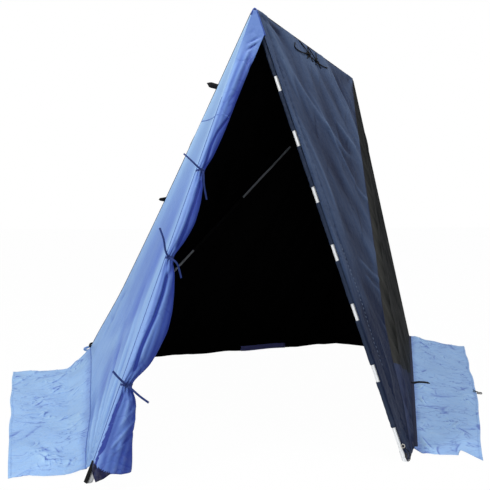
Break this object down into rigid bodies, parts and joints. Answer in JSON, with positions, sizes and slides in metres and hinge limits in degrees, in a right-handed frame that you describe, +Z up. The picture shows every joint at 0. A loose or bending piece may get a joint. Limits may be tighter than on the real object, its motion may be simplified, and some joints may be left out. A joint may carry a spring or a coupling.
{
  "type": "beach shelter",
  "caption": "Walk-in beach shelter: cloth walls over an aluminium pole frame, with a tied-back door and skirts to weigh down with sand.",
  "frame": {"origin": "on the ground at the centre of the footprint, skirts included", "axes": "+Z up, the doorway faces -Y, +X is to the right of someone looking in"},
  "size_m": [3.4324, 2.6412, 2.1102],
  "materials": {
    "cloth_blue": "coated plain-weave polyester, light blue, soft sheen",
    "cloth_door": "the same cloth gathered, deeper blue in its folds",
    "cloth_skirt": "sky blue cloth, crumpled",
    "cloth_navy": "navy coated cloth, slight sheen",
    "cloth_charcoal": "near-black coated cloth",
    "sleeve_black": "black webbing and cloth",
    "ribbon_blue": "dark blue woven tape",
    "pole_bright": "bright drawn tube",
    "pole_dull": "dull grey tube",
    "moulding_black": "black moulded plastic"
  },
  "bodies": {
    "root": {"left_wall": "cloth_blue", "gable": "cloth_blue", "front_left_sleeve": "cloth_blue", "door_flap": "cloth_door", "left_skirt": "cloth_skirt", "right_skirt": "cloth_skirt", "back_skirt": "cloth_skirt", "right_front_wall": "cloth_navy", "ridge_sleeve": "cloth_navy", "front_right_sleeve_1": "cloth_navy", "front_right_sleeve_2": "cloth_navy", "front_right_sleeve_3": "cloth_navy", "front_right_sleeve_4": "cloth_navy", "front_right_sleeve_5": "cloth_navy", "front_right_sleeve_6": "cloth_navy", "front_right_sleeve_7": "cloth_navy", "left_roof": "cloth_charcoal", "back_wall_left": "cloth_charcoal", "back_wall_right": "cloth_charcoal", "right_rear_wall": "cloth_charcoal", "rear_left_sleeve_1": "sleeve_black", "rear_left_sleeve_2": "sleeve_black", "rear_left_sleeve_3": "sleeve_black", "rear_right_sleeve_1": "sleeve_black", "rear_right_sleeve_2": "sleeve_black", "rear_right_sleeve_3": "sleeve_black", "upper_guy_loop": "sleeve_black", "lower_guy_loop": "sleeve_black", "right_peg_loop": "sleeve_black", "ridge_tie": "sleeve_black", "door_tie_1": "ribbon_blue", "door_tie_2": "ribbon_blue", "door_tie_3": "ribbon_blue", "front_left_pole": "pole_bright", "front_right_pole": "pole_bright", "front_left_foot": "pole_bright", "front_right_foot": "pole_bright", "rear_left_pole": "pole_dull", "rear_right_pole": "pole_dull", "ridge_pole": "pole_dull", "front_hub": "moulding_black", "rear_hub": "moulding_black", "rear_left_foot": "moulding_black", "rear_right_foot": "moulding_black"}
  },
  "joints": []
}
